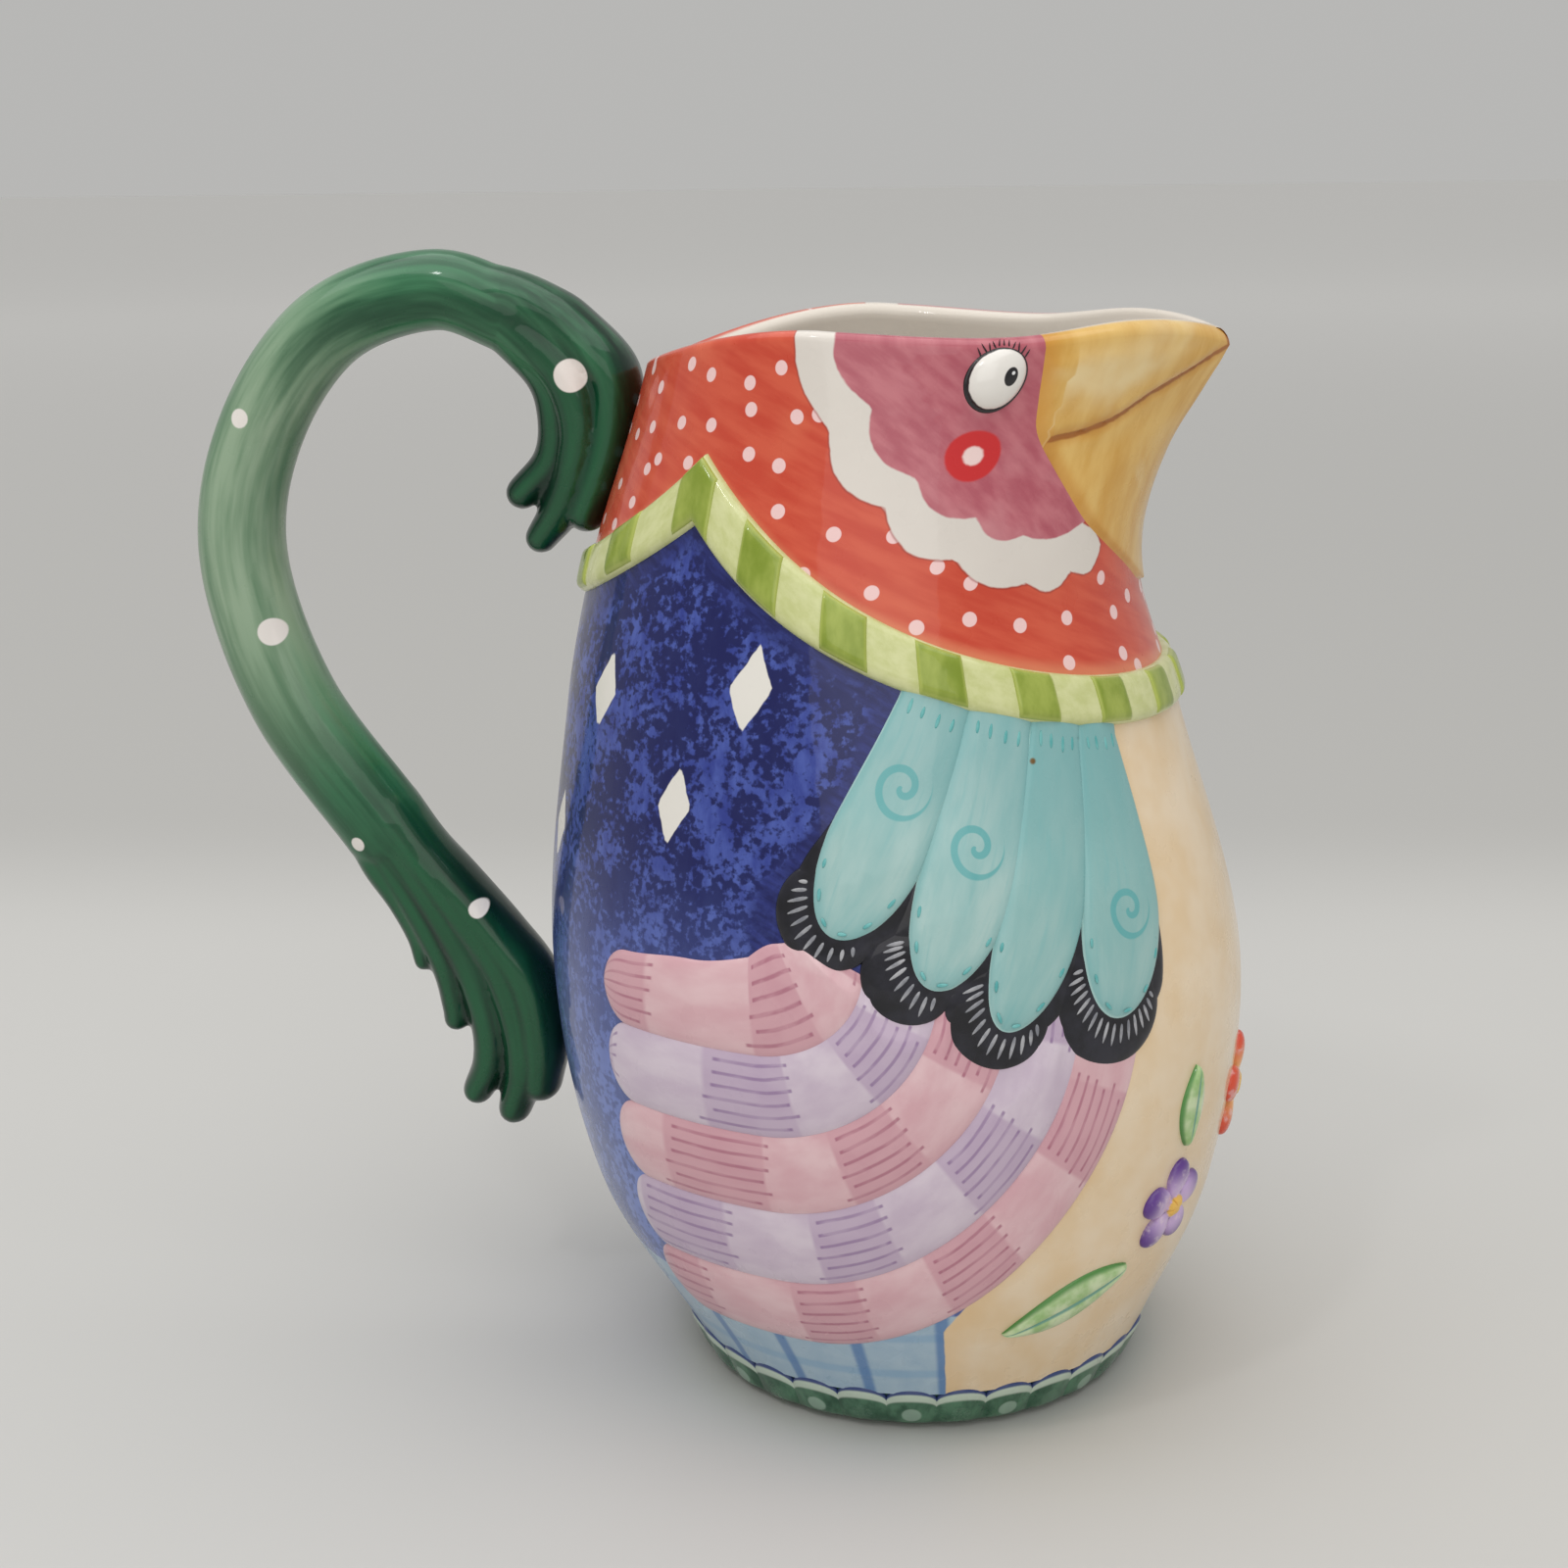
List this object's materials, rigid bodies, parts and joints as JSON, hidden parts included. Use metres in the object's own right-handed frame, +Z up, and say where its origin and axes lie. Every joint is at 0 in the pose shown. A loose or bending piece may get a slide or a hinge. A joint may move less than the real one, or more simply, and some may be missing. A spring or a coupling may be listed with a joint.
{
  "type": "chicken pitcher",
  "caption": "Glazed ceramic pitcher in the form of a hen: a round hollow body, a beak that pours, a bowed tail handle with leaf ends, and raised wings, collar and tail bands.",
  "frame": {"origin": "centre of the foot, on the surface that the pitcher stands on", "axes": "+Z up, +X towards the beak, the handle at -X, the plane Y = 0 is the mirror plane"},
  "size_m": [0.2343, 0.1528, 0.2448],
  "materials": {
    "body_glaze": "gloss glaze",
    "beak_glaze": "gloss glaze",
    "foot_glaze": "gloss glaze",
    "frill_glaze": "gloss glaze",
    "handle_glaze": "gloss glaze",
    "collar_glaze": "gloss glaze",
    "check_glaze": "gloss glaze",
    "eye_glaze": "gloss glaze",
    "feather_glaze": "gloss glaze",
    "edging_glaze": "gloss glaze",
    "pink_glaze": "gloss glaze",
    "lilac_glaze": "gloss glaze",
    "blossom_glaze": "gloss glaze",
    "leaf_glaze": "gloss glaze"
  },
  "bodies": {
    "root": {"body": "body_glaze", "beak_spout": "beak_glaze", "foot_ring": "foot_glaze", "foot_frill": "frill_glaze", "handle_bow": "handle_glaze", "upper_handle_leaf": "handle_glaze", "lower_handle_leaf": "handle_glaze", "collar_band": "collar_glaze", "collar_checks": "check_glaze", "right_eye": "eye_glaze", "left_eye": "eye_glaze", "right_feather_1": "feather_glaze", "right_feather_2": "feather_glaze", "right_feather_3": "feather_glaze", "right_feather_4": "feather_glaze", "right_wing_edging": "edging_glaze", "right_tail_band_1": "pink_glaze", "right_tail_band_2": "lilac_glaze", "right_tail_band_3": "pink_glaze", "right_tail_band_4": "lilac_glaze", "right_tail_band_5": "pink_glaze", "left_feather_1": "feather_glaze", "left_feather_2": "feather_glaze", "left_feather_3": "feather_glaze", "left_feather_4": "feather_glaze", "left_wing_edging": "edging_glaze", "left_tail_band_1": "pink_glaze", "left_tail_band_2": "lilac_glaze", "left_tail_band_3": "pink_glaze", "left_tail_band_4": "lilac_glaze", "left_tail_band_5": "pink_glaze", "breast_blossom": "blossom_glaze", "breast_leaves": "leaf_glaze"}
  },
  "joints": []
}
